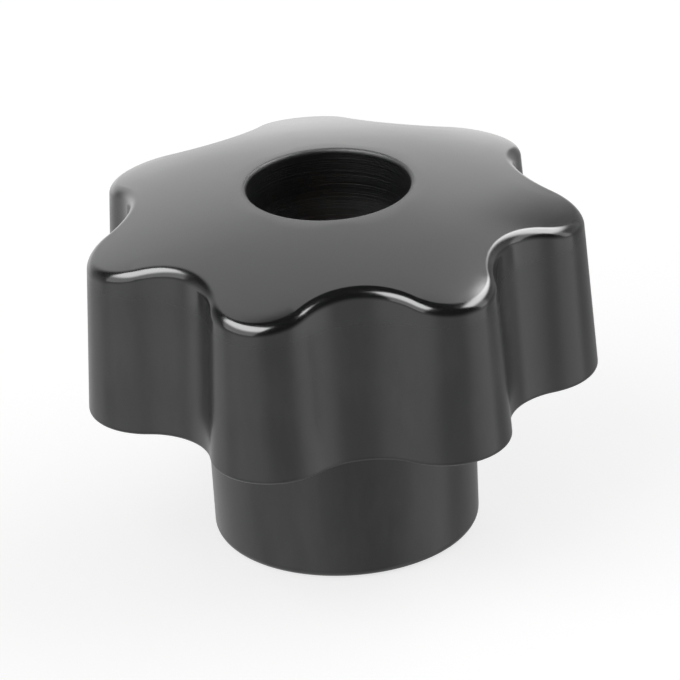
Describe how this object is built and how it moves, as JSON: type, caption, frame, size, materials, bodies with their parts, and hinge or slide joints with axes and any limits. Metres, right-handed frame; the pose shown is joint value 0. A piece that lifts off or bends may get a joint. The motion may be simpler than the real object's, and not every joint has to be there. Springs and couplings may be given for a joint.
{
  "type": "star knob",
  "caption": "Lobed star knob in moulded black phenolic with a domed top, a plain hub, a brass threaded insert in the hub and a round hole through the top.",
  "frame": {"origin": "centre of the hub's clamping face, on the knob's axis", "axes": "+Z along the axis from the hub up to the domed grip; one lobe points along +X"},
  "size_m": [0.0481, 0.049, 0.0357],
  "materials": {
    "black_phenolic": "glossy compression-moulded phenolic, a little duller on the flat underside",
    "brass": "turned brass, bright on the face and the countersink, browner down the thread"
  },
  "bodies": {
    "root": {"knob_body": "black_phenolic", "threaded_insert": "brass"}
  },
  "joints": []
}
